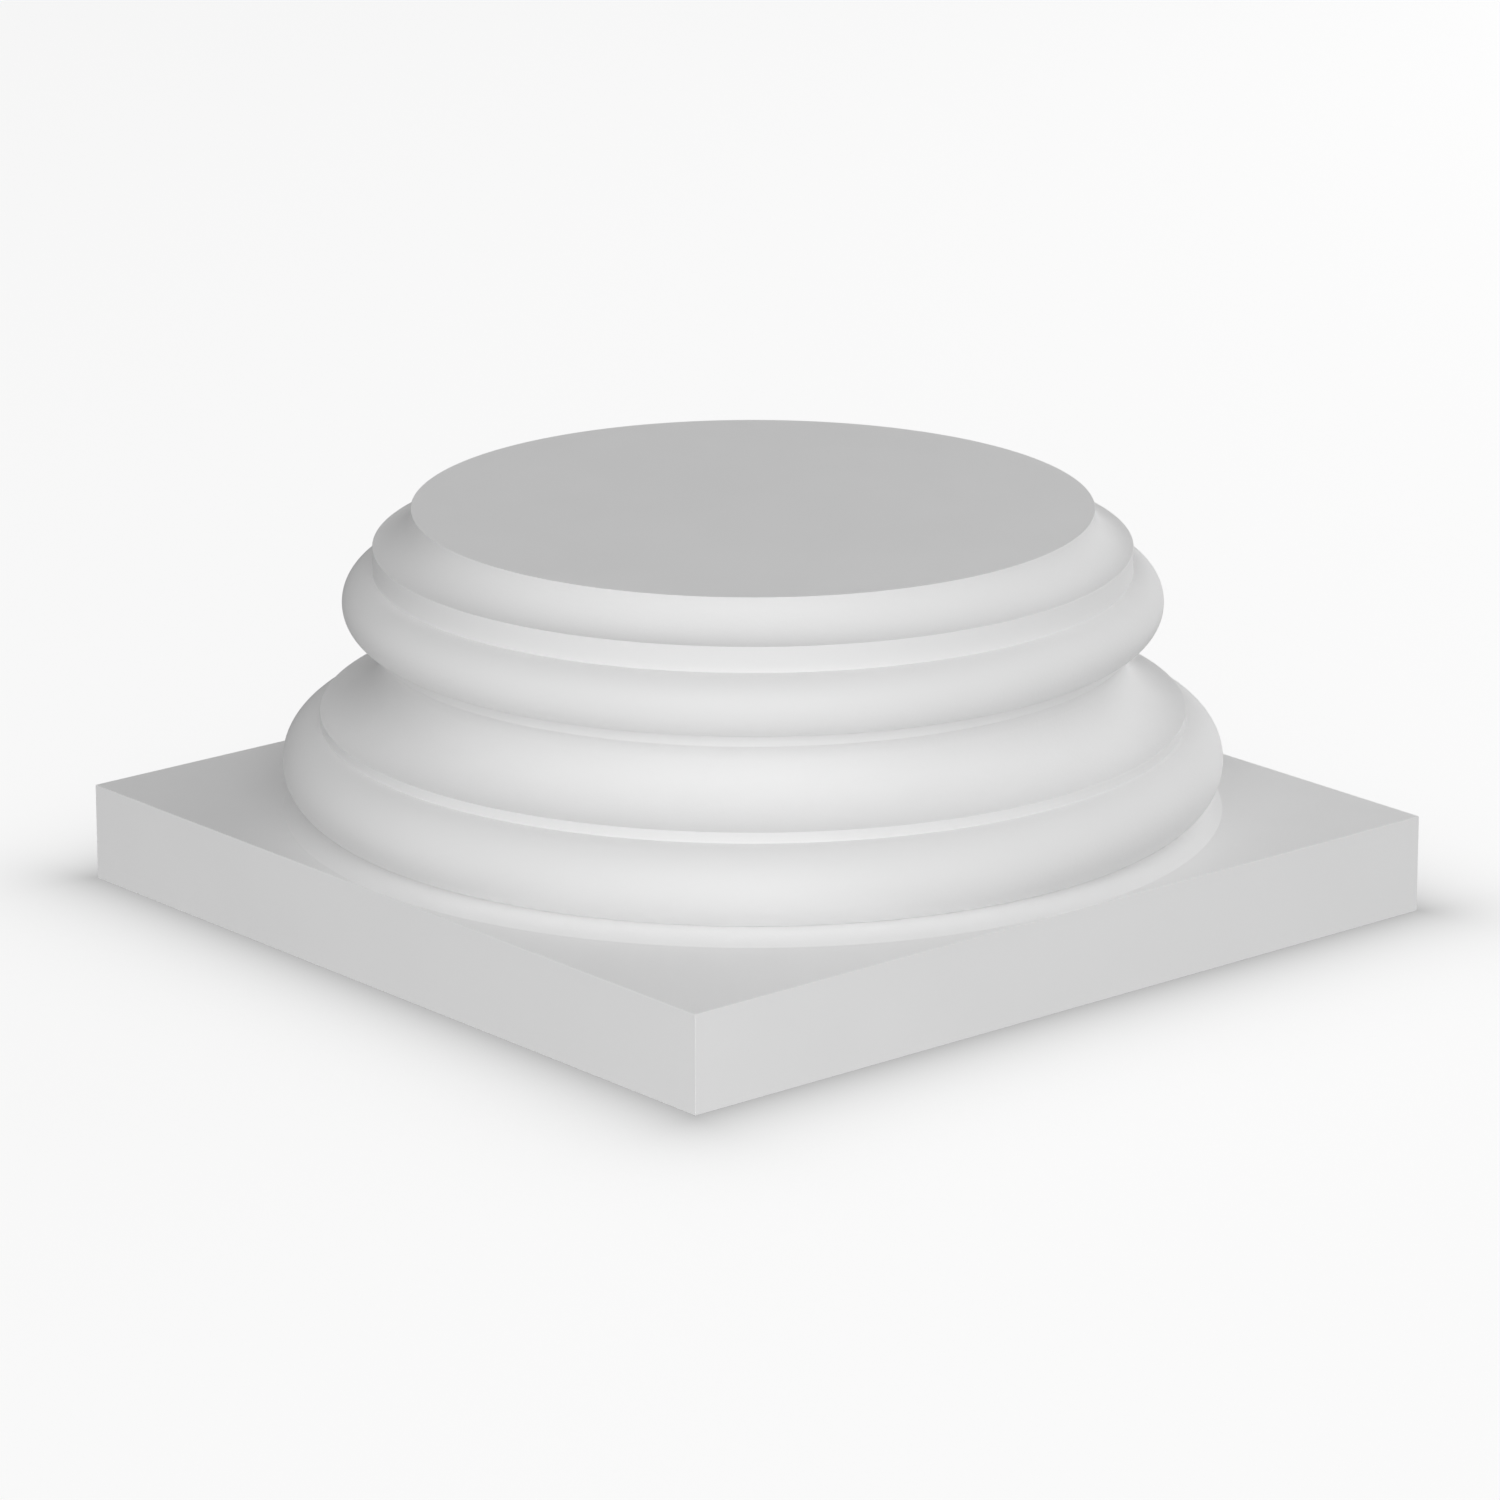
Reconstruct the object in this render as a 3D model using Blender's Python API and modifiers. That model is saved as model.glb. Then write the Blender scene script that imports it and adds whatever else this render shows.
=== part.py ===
"""Base of a classical round column, moulded in one piece: a square plinth and, turned on top of it,
a large round (torus), a hollow (scotia) between two flat bands (fillets), a smaller round, a plain
collar and a quarter hollow that leads up to the flat seat of the shaft.

Units are metres, +Z is up, and the origin is the centre of the underside.
"""

import math

import bmesh
import bpy
from mathutils import Matrix

# Driving sizes, from the shaft outwards and down
SHAFT_DIAMETER = 0.300  # flat round seat on top
TOP_HOLLOW_REACH = 0.0170  # quarter hollow between the seat and the collar
TOP_HOLLOW_HEIGHT = 0.0167
COLLAR_HEIGHT = 0.0114
UPPER_TORUS_RADIUS = 0.01365
UPPER_FILLET_HEIGHT = 0.0050
SCOTIA_REACH = 0.0242  # from the upper fillet out to the lower one
SCOTIA_HEIGHT = 0.0301
SCOTIA_ROLL = 0.0095  # radius of the tight turn under the upper fillet
SCOTIA_UNDERCUT = 0.0030  # how far the hollow bites in behind the upper fillet
LOWER_FILLET_HEIGHT = 0.0047
LOWER_FILLET_OVERHANG = 0.0014  # lower fillet past the centre of the lower torus
LOWER_TORUS_RADIUS = 0.01805
TORUS_LIFT = 0.0044  # lowest point of the lower torus above the plinth
SKIRT_TOP_ANGLE = 70.0  # degrees below level, where the skirt leaves the lower torus
SKIRT_FOOT_SLOPE = 15.0  # degrees, where the skirt runs out on the plinth
PLINTH_HEIGHT = 0.0437
PLINTH_MARGIN = 0.0004  # from the lower torus out to the side of the plinth
ROOT_DEPTH = 0.0150  # how far the turned part reaches into the plinth

# Number of facets
TURN_STEPS = 96
TOP_HOLLOW_STEPS = 6
UPPER_TORUS_STEPS = 10
SCOTIA_ROLL_STEPS = 4
SCOTIA_SWEEP_STEPS = 9
LOWER_TORUS_STEPS = 11
SKIRT_STEPS = 3

# Radii and heights that follow from the driving sizes
SEAT_RADIUS = SHAFT_DIAMETER / 2
COLLAR_RADIUS = SEAT_RADIUS + TOP_HOLLOW_REACH
LOWER_FILLET_RADIUS = COLLAR_RADIUS + SCOTIA_REACH
LOWER_TORUS_CENTRE = LOWER_FILLET_RADIUS - LOWER_FILLET_OVERHANG
LOWER_TORUS_OUTSIDE = LOWER_TORUS_CENTRE + LOWER_TORUS_RADIUS
PLINTH_WIDTH = 2 * (LOWER_TORUS_OUTSIDE + PLINTH_MARGIN)

LOWER_TORUS_BOTTOM = PLINTH_HEIGHT + TORUS_LIFT
LOWER_TORUS_TOP = LOWER_TORUS_BOTTOM + 2 * LOWER_TORUS_RADIUS
SCOTIA_BOTTOM = LOWER_TORUS_TOP + LOWER_FILLET_HEIGHT
SCOTIA_TOP = SCOTIA_BOTTOM + SCOTIA_HEIGHT
UPPER_TORUS_BOTTOM = SCOTIA_TOP + UPPER_FILLET_HEIGHT
UPPER_TORUS_TOP = UPPER_TORUS_BOTTOM + 2 * UPPER_TORUS_RADIUS
COLLAR_TOP = UPPER_TORUS_TOP + COLLAR_HEIGHT
SEAT_HEIGHT = COLLAR_TOP + TOP_HOLLOW_HEIGHT

# Finish
PAINT_COLOUR = (0.80, 0.80, 0.79, 1.0)
PAINT_ROUGHNESS = 0.6
CREASE_ANGLE = math.radians(25)
MERGE_DISTANCE = 0.00002


def clear_scene():
    """Removes what the file opened with."""
    for obj in list(bpy.data.objects):
        bpy.data.objects.remove(obj, do_unlink=True)


def make_collection(name):
    collection = bpy.data.collections.new(name)
    bpy.context.scene.collection.children.link(collection)
    return collection


def paint_material():
    """White matt primer over the moulded piece."""
    material = bpy.data.materials.new("white_primer")
    material.use_nodes = True
    shader = material.node_tree.nodes["Principled BSDF"]
    shader.inputs["Base Color"].default_value = PAINT_COLOUR
    shader.inputs["Roughness"].default_value = PAINT_ROUGHNESS
    shader.inputs["Metallic"].default_value = 0.0
    return material


def arc(centre, reach, height, start, end, steps):
    """Points (radius, height) on an elliptical arc from start to end, in degrees from +X, both included."""
    points = []
    for step in range(steps + 1):
        angle = math.radians(start + (end - start) * step / steps)
        points.append((centre[0] + reach * math.cos(angle), centre[1] + height * math.sin(angle)))
    return points


def top_hollow():
    """Quarter hollow: upright under the seat, level where it meets the collar."""
    return arc((COLLAR_RADIUS, SEAT_HEIGHT), TOP_HOLLOW_REACH, TOP_HOLLOW_HEIGHT, 180, 270, TOP_HOLLOW_STEPS)


def torus(centre_radius, bottom, tube_radius, steps):
    """Half round, from its top down to its underside."""
    return arc((centre_radius, bottom + tube_radius), tube_radius, tube_radius, 90, -90, steps)


def scotia():
    """Hollow: a tight roll under the upper fillet, then one long sweep out to the lower fillet."""
    deepest = COLLAR_RADIUS - SCOTIA_UNDERCUT
    # The roll starts on the upper fillet's lower edge, at the angle where it crosses the fillet's radius
    start = math.acos((SCOTIA_UNDERCUT - SCOTIA_ROLL) / SCOTIA_ROLL)
    middle = SCOTIA_TOP - SCOTIA_ROLL * math.sin(start)
    roll_centre = (deepest + SCOTIA_ROLL, middle)
    roll = arc(roll_centre, SCOTIA_ROLL, SCOTIA_ROLL, math.degrees(start), 180, SCOTIA_ROLL_STEPS)
    # The sweep is a quarter ellipse, upright where the roll ends and level at the lower fillet
    reach = LOWER_FILLET_RADIUS - deepest
    sweep = arc((LOWER_FILLET_RADIUS, middle), reach, middle - SCOTIA_BOTTOM, 180, 270, SCOTIA_SWEEP_STEPS)
    return roll + sweep[1:]


def skirt(start, foot):
    """Shallow hollow from under the lower torus out to the foot, as a round arc that ends at the foot's slope."""
    across, down = foot[0] - start[0], start[1] - foot[1]
    slope = math.radians(SKIRT_FOOT_SLOPE)
    half_turn = math.atan2(down, across) - slope
    radius = math.hypot(across, down) / (2 * math.sin(half_turn))
    centre = (foot[0] + radius * math.sin(slope), foot[1] + radius * math.cos(slope))
    last = 270 - SKIRT_FOOT_SLOPE
    return arc(centre, radius, radius, last - 2 * math.degrees(half_turn), last, SKIRT_STEPS)


def turned_profile():
    """Outline (radius, height) of the turned part, from the axis at the seat, down the outside, to the axis
    inside the plinth. Each pair of neighbouring mouldings is joined by the straight fillet between them."""
    points = [(0.0, SEAT_HEIGHT)]
    points += top_hollow()
    points += torus(COLLAR_RADIUS, UPPER_TORUS_BOTTOM, UPPER_TORUS_RADIUS, UPPER_TORUS_STEPS)
    points += scotia()
    # The lower torus starts where the lower fillet stands on it
    landing = math.degrees(math.acos(LOWER_FILLET_OVERHANG / LOWER_TORUS_RADIUS))
    torus_centre = (LOWER_TORUS_CENTRE, LOWER_TORUS_BOTTOM + LOWER_TORUS_RADIUS)
    radius = LOWER_TORUS_RADIUS
    points += arc(torus_centre, radius, radius, landing, -SKIRT_TOP_ANGLE, LOWER_TORUS_STEPS)
    points += skirt(points[-1], (LOWER_TORUS_OUTSIDE, PLINTH_HEIGHT))[1:]
    points.append((SEAT_RADIUS, PLINTH_HEIGHT - ROOT_DEPTH))
    points.append((0.0, PLINTH_HEIGHT - ROOT_DEPTH))
    return points


def turned_mouldings(collection):
    """The round part, as a profile swept round the Z axis."""
    profile = turned_profile()
    mesh = bpy.data.meshes.new("turned_mouldings")
    edges = [(index, index + 1) for index in range(len(profile) - 1)]
    mesh.from_pydata([(radius, 0.0, height) for radius, height in profile], edges, [])
    obj = bpy.data.objects.new("turned_mouldings", mesh)
    collection.objects.link(obj)
    screw = obj.modifiers.new("Turn", "SCREW")
    screw.axis = "Z"
    screw.steps = TURN_STEPS
    screw.render_steps = TURN_STEPS
    screw.use_merge_vertices = True
    screw.merge_threshold = MERGE_DISTANCE
    obj.hide_render = True
    obj.display_type = "WIRE"
    return obj


def plinth_with(mouldings, collection):
    """The square plinth, as a box, with the turned part joined to it as one body."""
    box = bmesh.new()
    size = Matrix.Diagonal((PLINTH_WIDTH, PLINTH_WIDTH, PLINTH_HEIGHT, 1.0))
    bmesh.ops.create_cube(box, size=1.0, matrix=Matrix.Translation((0, 0, PLINTH_HEIGHT / 2)) @ size)
    mesh = bpy.data.meshes.new("column_base")
    box.to_mesh(mesh)
    box.free()
    obj = bpy.data.objects.new("column_base", mesh)
    collection.objects.link(obj)
    union = obj.modifiers.new("Join mouldings", "BOOLEAN")
    union.operation = "UNION"
    union.solver = "EXACT"
    union.object = mouldings
    return obj


def shade(obj):
    """Keeps the joined mesh and shades its rounds smooth, with every arris left sharp."""
    graph = bpy.context.evaluated_depsgraph_get()
    joined = bpy.data.meshes.new_from_object(obj.evaluated_get(graph))
    obj.modifiers.clear()
    obj.data = joined
    joined.shade_smooth()
    joined.set_sharp_from_angle(angle=CREASE_ANGLE)
    joined.materials.clear()
    joined.materials.append(paint_material())


def main():
    clear_scene()
    base_parts = make_collection("Column base")
    helpers = make_collection("Helpers")
    mouldings = turned_mouldings(helpers)
    base = plinth_with(mouldings, base_parts)
    shade(base)


main()
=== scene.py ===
import math
import bpy
from mathutils import Matrix, Vector


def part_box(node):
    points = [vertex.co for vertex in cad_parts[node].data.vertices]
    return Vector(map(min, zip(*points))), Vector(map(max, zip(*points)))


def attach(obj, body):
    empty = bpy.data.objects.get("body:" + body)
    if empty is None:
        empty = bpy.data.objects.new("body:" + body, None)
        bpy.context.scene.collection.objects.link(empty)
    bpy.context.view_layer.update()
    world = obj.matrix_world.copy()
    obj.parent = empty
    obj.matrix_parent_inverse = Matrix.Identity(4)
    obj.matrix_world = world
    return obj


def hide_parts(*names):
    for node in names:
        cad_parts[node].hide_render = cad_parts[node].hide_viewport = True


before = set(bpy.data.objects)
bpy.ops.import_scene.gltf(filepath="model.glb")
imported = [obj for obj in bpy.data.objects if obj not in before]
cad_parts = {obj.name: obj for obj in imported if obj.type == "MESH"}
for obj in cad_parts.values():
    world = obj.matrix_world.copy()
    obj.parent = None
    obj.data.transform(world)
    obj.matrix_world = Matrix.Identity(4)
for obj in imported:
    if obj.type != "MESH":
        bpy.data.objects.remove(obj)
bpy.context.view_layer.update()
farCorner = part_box("column_base")[1]  # of the solid that the piece replaces
plinthSide, seatHeight = farCorner.x, farCorner.z
print("frame loaded")


def deselectAll():
    if bpy.context.object and bpy.context.object.mode != "OBJECT":
        bpy.ops.object.mode_set(mode="OBJECT")
    bpy.ops.object.select_all(action="DESELECT")


def editMode(piece, selectMode):
    deselectAll()
    piece.select_set(True)
    bpy.context.view_layer.objects.active = piece
    bpy.ops.object.mode_set(mode="EDIT")
    bpy.ops.mesh.select_mode(type=selectMode)
    bpy.ops.mesh.select_all(action="DESELECT")


def applyModifiers(piece):
    deselectAll()
    piece.select_set(True)
    bpy.context.view_layer.objects.active = piece
    for modifier in list(piece.modifiers):
        bpy.ops.object.modifier_apply(modifier=modifier.name)


# Column base: square plinth with turned mouldings, one moulded piece

columnBase = {
    "seatRadius": 0.1500,  # flat round top, the shaft's own radius
    "hollowReach": 0.0170,  # quarter hollow under the seat
    "hollowHeight": 0.0167,
    "collarHeight": 0.0114,
    "upperRound": 0.01365,  # radius of the upper torus
    "upperBand": 0.0050,
    "scotiaReach": 0.0242,  # hollow between the two bands
    "scotiaHeight": 0.0301,
    "scotiaRoll": 0.0095,
    "scotiaUndercut": 0.0030,  # how far it bites in behind the upper band
    "lowerBand": 0.0047,
    "bandOverhang": 0.0014,
    "lowerRound": 0.01805,  # radius of the lower torus
    "skirtTopAngle": 70,
    "skirtFootSlope": 15,
    "plinthHeight": 0.0437,
    "rootDepth": 0.0150,
    "arrisRadius": 0.00025,  # tiny rounding that paint leaves on the mouldings' arrises
    "arrisSegments": 3,
    "plinthArris": 0.0002,
    "turnSteps": 288,
    "arcStep": 5.0,  # degrees of arc for each point of the outline
    "creaseAngle": 30,
    "near": 0.00002,  # how close a point counts as being in its place
}


def arcPoints(centreR, centreZ, reach, height, start, end):
    steps = max(2, math.ceil(abs(end - start) / columnBase["arcStep"]))
    points = []
    for step in range(steps + 1):
        angle = math.radians(start + (end - start) * step / steps)
        points.append((centreR + reach * math.cos(angle), centreZ + height * math.sin(angle)))
    return points


def skirtPoints(startPoint, footPoint, footSlope):
    across, down = footPoint[0] - startPoint[0], startPoint[1] - footPoint[1]
    slope = math.radians(footSlope)
    halfTurn = math.atan2(down, across) - slope
    radius = math.hypot(across, down) / (2 * math.sin(halfTurn))
    centreR = footPoint[0] + radius * math.sin(slope)
    centreZ = footPoint[1] + radius * math.cos(slope)
    last = 270 - footSlope
    return arcPoints(centreR, centreZ, radius, radius, last - 2 * math.degrees(halfTurn), last)


def scotiaPoints(size, innerR, outerR, top):
    # a tight roll under the upper band, then a quarter ellipse out to the lower band
    roll = size["scotiaRoll"]
    deepestR = innerR - size["scotiaUndercut"]
    rollStart = math.acos((size["scotiaUndercut"] - roll) / roll)
    middle = top - roll * math.sin(rollStart)
    height = middle - top + size["scotiaHeight"]
    points = arcPoints(deepestR + roll, middle, roll, roll, math.degrees(rollStart), 180)
    return points + arcPoints(outerR, middle, outerR - deepestR, height, 180, 270)[1:]


def turnedOutline(size, seatZ):
    # from the middle of the seat down the outside, and back to the axis inside the plinth
    collarR = size["seatRadius"] + size["hollowReach"]
    arrises = [(size["seatRadius"], seatZ), (collarR, seatZ - size["hollowHeight"])]
    points = [(0.0, seatZ)]
    points += arcPoints(collarR, seatZ, size["hollowReach"], size["hollowHeight"], 180, 270)
    z = seatZ - size["hollowHeight"] - size["collarHeight"]
    points += arcPoints(collarR, z - size["upperRound"], size["upperRound"], size["upperRound"], 90, -90)
    z -= 2 * size["upperRound"] + size["upperBand"]
    bandR = collarR + size["scotiaReach"]
    points += scotiaPoints(size, collarR, bandR, z)
    arrises += [(collarR, z), (bandR, z - size["scotiaHeight"])]
    z -= size["scotiaHeight"] + size["lowerBand"]
    roundR = bandR - size["bandOverhang"]
    landing = math.degrees(math.acos(size["bandOverhang"] / size["lowerRound"]))
    radius = size["lowerRound"]
    points += arcPoints(roundR, z - radius, radius, radius, landing, -size["skirtTopAngle"])
    foot = (roundR + radius, size["plinthHeight"])
    points += skirtPoints(points[-1], foot, size["skirtFootSlope"])[1:]
    rootZ = size["plinthHeight"] - size["rootDepth"]
    return points + [(size["seatRadius"], rootZ), (0.0, rootZ)], arrises, foot


def turnedMouldings(size, seatZ):
    outline, arrises, foot = turnedOutline(size, seatZ)
    # a tiny ring shrunk to one point, which is then pulled along the outline
    bpy.ops.mesh.primitive_circle_add(vertices=3, radius=0.001)
    piece = bpy.context.object
    editMode(piece, "VERT")
    bpy.ops.mesh.select_all(action="SELECT")
    bpy.ops.mesh.merge(type="CENTER")
    bpy.ops.mesh.select_all(action="SELECT")
    bpy.ops.transform.translate(value=(0, 0, outline[0][1]))
    for (fromR, fromZ), (toR, toZ) in zip(outline, outline[1:]):
        move = {"value": (toR - fromR, 0, toZ - fromZ)}
        bpy.ops.mesh.extrude_vertices_move(TRANSFORM_OT_translate=move)
    bpy.ops.object.mode_set(mode="OBJECT")
    for vertex in piece.data.vertices:
        place = (vertex.co.x, vertex.co.z)
        vertex.select = any(math.dist(place, arris) < size["near"] for arris in arrises)
    bpy.ops.object.mode_set(mode="EDIT")
    rounding = {"offset": size["arrisRadius"], "segments": size["arrisSegments"]}
    bpy.ops.mesh.bevel(affect="VERTICES", **rounding)
    bpy.ops.mesh.select_all(action="SELECT")
    bpy.ops.mesh.spin(steps=size["turnSteps"], angle=math.tau, center=(0, 0, 0), axis=(0, 0, 1))
    bpy.ops.mesh.select_all(action="SELECT")
    bpy.ops.mesh.remove_doubles(threshold=size["near"])
    bpy.ops.mesh.normals_make_consistent(inside=False)
    bpy.ops.object.mode_set(mode="OBJECT")
    return piece, foot


def squarePlinth(size, halfWidth):
    bpy.ops.mesh.primitive_cube_add(size=1)
    piece = bpy.context.object
    editMode(piece, "EDGE")
    bpy.ops.mesh.select_all(action="SELECT")
    bpy.ops.transform.resize(value=(2 * halfWidth, 2 * halfWidth, size["plinthHeight"]))
    bpy.ops.transform.translate(value=(0, 0, size["plinthHeight"] / 2))
    bpy.ops.mesh.bevel(offset=size["plinthArris"], segments=size["arrisSegments"], affect="EDGES")
    bpy.ops.object.mode_set(mode="OBJECT")
    return piece


def keepFootCrisp(piece, foot, near):
    # the skirt meets the plinth so flatly that an angle would not find the line
    editMode(piece, "EDGE")
    bpy.ops.object.mode_set(mode="OBJECT")
    vertices = piece.data.vertices
    onFoot = [math.dist((math.hypot(v.co.x, v.co.y), v.co.z), foot) < near for v in vertices]
    for edge in piece.data.edges:
        edge.select = all(onFoot[index] for index in edge.vertices)
    bpy.ops.object.mode_set(mode="EDIT")
    bpy.ops.mesh.mark_sharp()
    bpy.ops.object.mode_set(mode="OBJECT")


def buildColumnBase(size):
    mouldings, foot = turnedMouldings(size, seatHeight)
    piece = squarePlinth(size, plinthSide)
    piece.name = piece.data.name = "columnBase"
    join = piece.modifiers.new("join", "BOOLEAN")
    join.operation = "UNION"
    join.object = mouldings
    applyModifiers(piece)
    bpy.data.objects.remove(mouldings)
    keepFootCrisp(piece, foot, size["near"])
    bpy.ops.object.shade_smooth_by_angle(angle=math.radians(size["creaseAngle"]))
    piece.modifiers.new("flats", "WEIGHTED_NORMAL").keep_sharp = True
    applyModifiers(piece)
    return piece


base = buildColumnBase(columnBase)
print("column base modelled:", len(base.data.polygons), "faces")


def newMaterial(name):
    material = bpy.data.materials.new(name)
    material.use_nodes = True
    tree = material.node_tree
    return material, tree.nodes, tree.links, tree.nodes["Principled BSDF"]


paintFinish = {
    "paleTone": (0.928, 0.928, 0.928),
    "deepTone": (0.910, 0.910, 0.910),
    "tones": {"scale": 11.0, "detail": 4.0},  # soft clouds about 9 cm across
    "roughness": (0.56, 0.65),
    "sheen": {"scale": 60.0, "detail": 3.0},  # where the coat is a little smoother
    "peel": {"scale": 620.0, "detail": 1.0},  # ripple of sprayed paint, about 1.6 mm
    "peelDepth": 0.000035,
    "grain": {"scale": 3600.0, "detail": 2.0},  # fine grain of the matt coat
    "grainDepth": 0.000008,
    "noiseSpan": (0.3, 0.7),  # where nearly all of a noise's values lie
}


def noiseOn(nodes, links, pattern):
    place = nodes.new("ShaderNodeTexCoord")
    noise = nodes.new("ShaderNodeTexNoise")
    noise.inputs["Scale"].default_value = pattern["scale"]
    noise.inputs["Detail"].default_value = pattern["detail"]
    links.new(place.outputs["Object"], noise.inputs["Vector"])
    return noise.outputs["Fac"]


def bumpFrom(nodes, links, height, depth, under=None):
    bump = nodes.new("ShaderNodeBump")
    bump.inputs["Strength"].default_value = 1.0
    bump.inputs["Distance"].default_value = depth
    links.new(height, bump.inputs["Height"])
    if under:
        links.new(under, bump.inputs["Normal"])
    return bump.outputs["Normal"]


def whitePaint(finish):
    material, nodes, links, shader = newMaterial("whitePaint")
    spanStart, spanEnd = finish["noiseSpan"]
    tones = nodes.new("ShaderNodeValToRGB")
    deep, pale = tones.color_ramp.elements
    deep.position, pale.position = spanStart, spanEnd
    deep.color, pale.color = (*finish["deepTone"], 1), (*finish["paleTone"], 1)
    links.new(noiseOn(nodes, links, finish["tones"]), tones.inputs["Fac"])
    links.new(tones.outputs["Color"], shader.inputs["Base Color"])
    gloss = nodes.new("ShaderNodeMapRange")
    gloss.inputs["From Min"].default_value = spanStart
    gloss.inputs["From Max"].default_value = spanEnd
    gloss.inputs["To Min"].default_value = finish["roughness"][0]
    gloss.inputs["To Max"].default_value = finish["roughness"][1]
    links.new(noiseOn(nodes, links, finish["sheen"]), gloss.inputs["Value"])
    links.new(gloss.outputs["Result"], shader.inputs["Roughness"])
    peel = bumpFrom(nodes, links, noiseOn(nodes, links, finish["peel"]), finish["peelDepth"])
    grain = bumpFrom(nodes, links, noiseOn(nodes, links, finish["grain"]), finish["grainDepth"], peel)
    links.new(grain, shader.inputs["Normal"])
    return material


base.data.materials.clear()
base.data.materials.append(whitePaint(paintFinish))
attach(base, "root")
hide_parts("column_base")

floorLook = {
    "width": 24.0,
    "white": 0.15,
    "roughness": 0.9,
    "glow": 0.84,
    "shadowReach": 0.026,  # painted soft shadow where the object stands on the floor, not cast by any light
    "shadowDepth": 0.5,
}
backdropLook = {
    "radius": 12.0,
    "sides": 24,
    "glow": 0.9,
}


def paintedShadowOn(nodes, links, look, halfWidth):
    # painted contact shadow, not cast by the lights: darkest beside the plinth's square outline, fading
    # outwards with distance
    result = nodes.new("ShaderNodeTexCoord").outputs["Object"]
    steps = (
        ("ShaderNodeVectorMath", "ABSOLUTE", []),
        ("ShaderNodeVectorMath", "SUBTRACT", [(halfWidth, halfWidth, 0)]),
        ("ShaderNodeVectorMath", "MAXIMUM", [(0, 0, 0)]),
        ("ShaderNodeVectorMath", "LENGTH", []),
        ("ShaderNodeMath", "DIVIDE", [-look["shadowReach"]]),
        ("ShaderNodeMath", "EXPONENT", []),
        ("ShaderNodeMath", "MULTIPLY_ADD", [-look["shadowDepth"], 1]),
    )
    for kind, operation, values in steps:
        step = nodes.new(kind)
        step.operation = operation
        links.new(result, step.inputs[0])
        for index, value in enumerate(values, 1):
            step.inputs[index].default_value = value
        givesNumber = kind == "ShaderNodeMath" or operation == "LENGTH"
        result = step.outputs["Value" if givesNumber else "Vector"]
    return result


def paleFloor(look, halfWidth):
    deselectAll()
    bpy.ops.mesh.primitive_plane_add(size=look["width"])
    floor = bpy.context.object
    floor.name = "floor"
    material, nodes, links, shader = newMaterial("paleFloor")
    shader.inputs["Roughness"].default_value = look["roughness"]
    paintedShadow = paintedShadowOn(nodes, links, look, halfWidth)
    # the painted shadow darkens the floor's colour and its glow alike
    for share, socket in ((look["white"], "Base Color"), (look["glow"], "Emission Color")):
        tone = nodes.new("ShaderNodeMath")
        tone.operation = "MULTIPLY"
        tone.inputs[1].default_value = share
        links.new(paintedShadow, tone.inputs[0])
        links.new(tone.outputs["Value"], shader.inputs[socket])
    shader.inputs["Emission Strength"].default_value = 1.0
    floor.data.materials.append(material)
    return floor


def paleBackdrop(look):
    deselectAll()
    sides = look["sides"]
    bpy.ops.mesh.primitive_uv_sphere_add(segments=sides, ring_count=sides // 2, radius=look["radius"])
    backdrop = bpy.context.object
    backdrop.name = "backdrop"
    material, nodes, links, shader = newMaterial("paleBackdrop")
    shader.inputs["Base Color"].default_value = (0, 0, 0, 1)
    shader.inputs["Specular IOR Level"].default_value = 0.0
    shader.inputs["Emission Color"].default_value = (1, 1, 1, 1)
    shader.inputs["Emission Strength"].default_value = look["glow"]
    backdrop.data.materials.append(material)
    return backdrop


# the lights give the object all of its light, floor and backdrop only show round it
for setting in (paleFloor(floorLook, plinthSide), paleBackdrop(backdropLook)):
    setting.visible_diffuse = False
    setting.visible_glossy = False
    setting.visible_shadow = False
    setting.active_material.cycles.emission_sampling = "NONE"
print("floor and backdrop set")

cameraView = {
    "lens": 182.18,
    "filmWidth": 36,
    "turn": 40.41,  # degrees, from looking along +Y
    "tilt": 16.858,  # degrees below level
    "distance": 15.443,  # level distance to the axis, in plinth half widths
    "height": 5.0016,
    "side": 0.0061,
    "farEnd": 60,  # metres, past the backdrop
}


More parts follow.
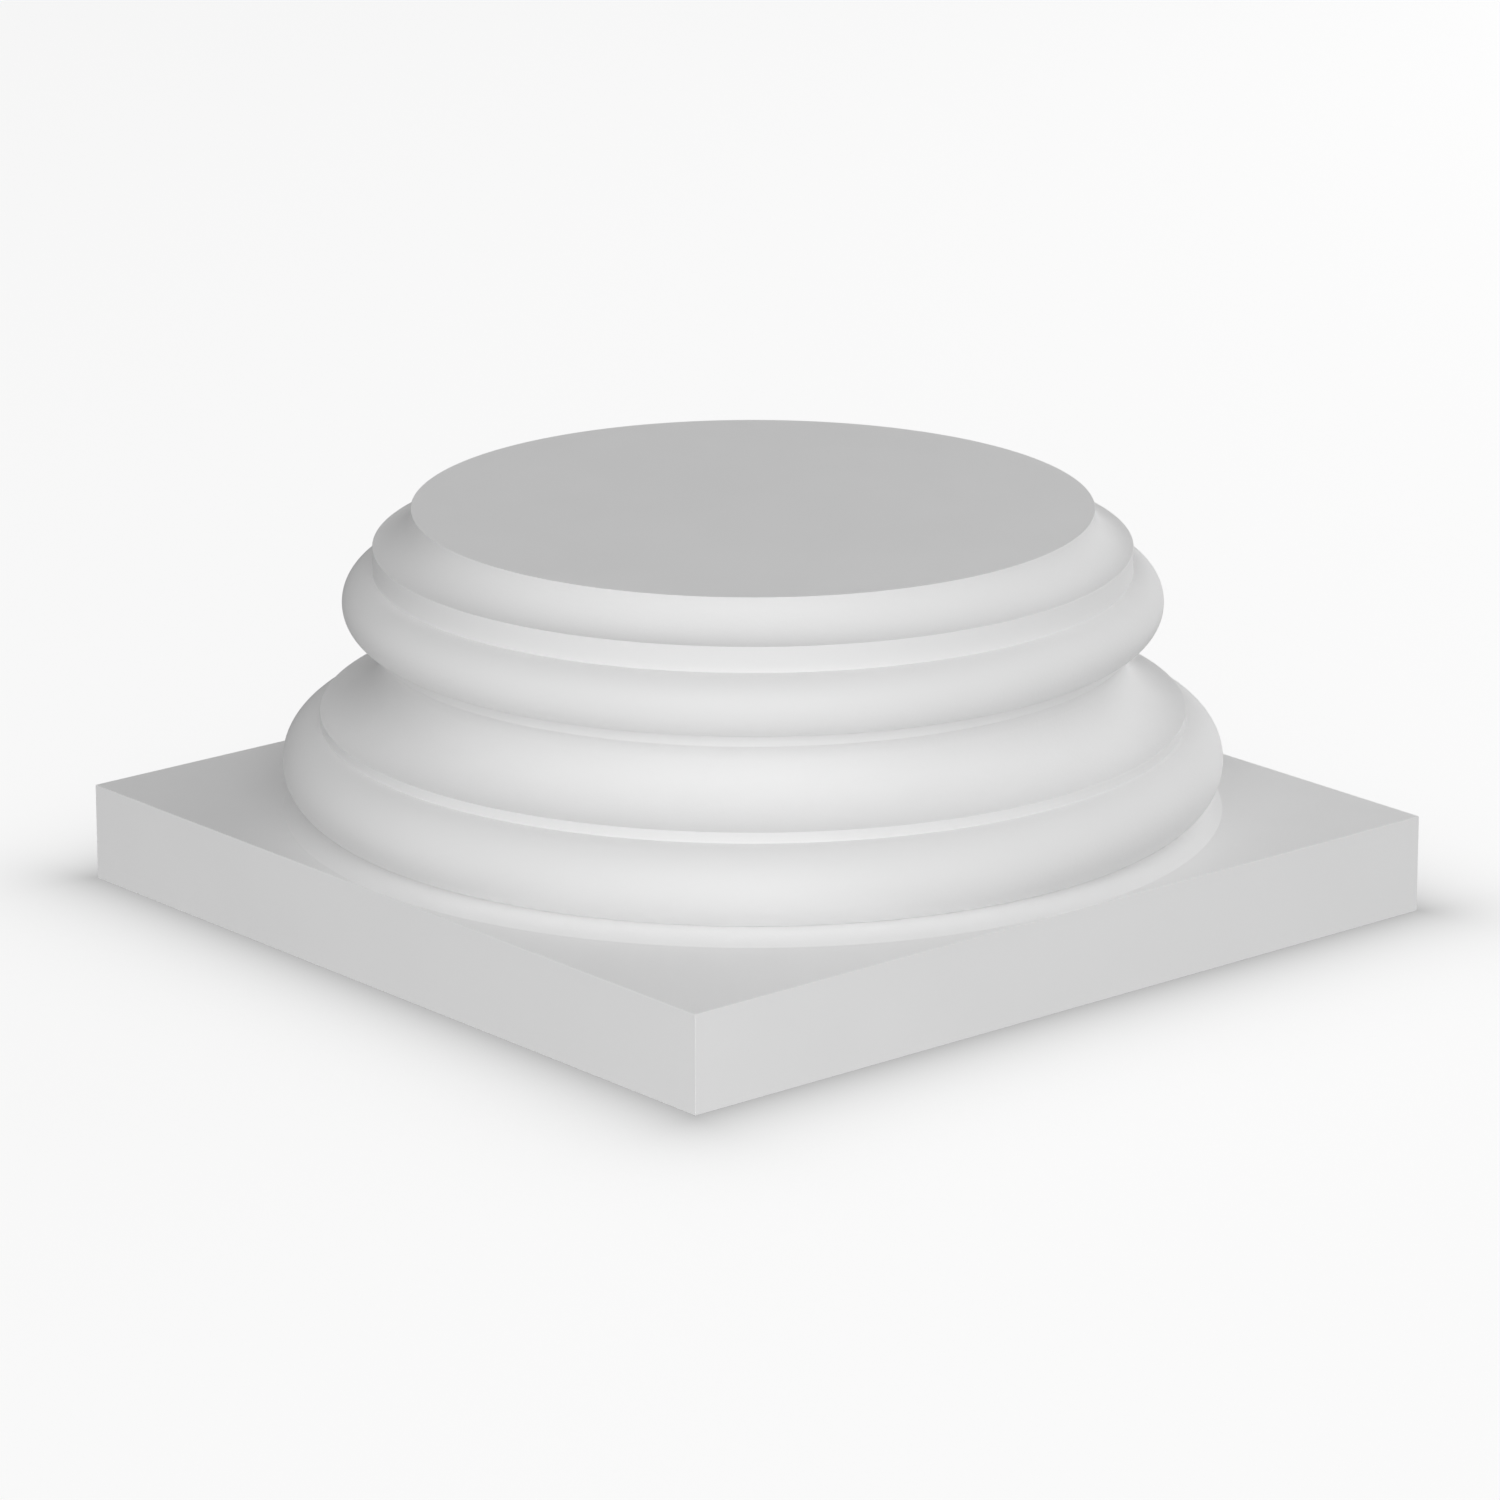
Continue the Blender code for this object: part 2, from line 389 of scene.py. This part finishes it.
def addCamera(view, halfWidth):
    data = bpy.data.cameras.new("camera")
    camera = bpy.data.objects.new("camera", data)
    bpy.context.scene.collection.objects.link(camera)
    turn = math.radians(-view["turn"])
    place = Vector((-view["side"], -view["distance"], 0)) * halfWidth
    camera.location = Matrix.Rotation(turn, 4, "Z") @ place
    camera.location.z = view["height"] * halfWidth
    camera.rotation_euler = (math.radians(90 - view["tilt"]), 0, turn)
    data.lens = view["lens"]
    data.sensor_width = view["filmWidth"]
    data.clip_end = view["farEnd"]
    bpy.context.scene.camera = camera


addCamera(cameraView, plinthSide)

# Soft lights: side in degrees from the camera towards its right, lift above level.
# The boxes stand close, so they fade along the object's sides, the others reach it from afar.
softBoxes = {
    "front": {"side": 0, "lift": 10, "watts": 21.4},
    "backRight": {"side": 135, "lift": 10, "watts": 21.8},
    "right": {"side": 90, "lift": 35, "watts": 7.2},
    "leftHigh": {"side": -90, "lift": 65, "watts": 4.6},
    "lowLeft": {"side": -45, "lift": -50, "watts": 6.5},
}
farLights = {
    "frontHigh": {"side": 0, "lift": 35, "strength": 0.75},
    "left": {"side": -90, "lift": 10, "strength": 0.29},
    "lowRight": {"side": 45, "lift": -50, "strength": 0.33},
}
lightWidth = 60  # degrees of sky that each light fills
boxDistance = 2.2
roomLight = 0.15


def addLight(name, data, place, turn):
    light = bpy.data.objects.new(name, data)
    bpy.context.scene.collection.objects.link(light)
    side, lift = math.radians(place["side"] - turn), math.radians(place["lift"])
    level = math.cos(lift)
    towards = Vector((math.sin(side) * level, -math.cos(side) * level, math.sin(lift)))
    light.location = towards * boxDistance + Vector((0, 0, seatHeight / 2))
    light.rotation_euler = towards.to_track_quat("Z", "Y").to_euler()
    light.visible_camera = False


for name, place in softBoxes.items():
    data = bpy.data.lights.new(name, "AREA")
    data.shape = "DISK"
    data.size = 2 * boxDistance * math.tan(math.radians(lightWidth / 2))
    data.energy = place["watts"]
    addLight(name, data, place, cameraView["turn"])

for name, place in farLights.items():
    data = bpy.data.lights.new(name, "SUN")
    data.energy = place["strength"]
    data.angle = math.radians(lightWidth)
    addLight(name, data, place, cameraView["turn"])

world = bpy.data.worlds.new("studio")
bpy.context.scene.world = world
world.use_nodes = True
world.node_tree.nodes["Background"].inputs["Color"].default_value = (1, 1, 1, 1)
world.node_tree.nodes["Background"].inputs["Strength"].default_value = roomLight
bpy.context.scene.view_settings.view_transform = "Standard"
print("stage set")
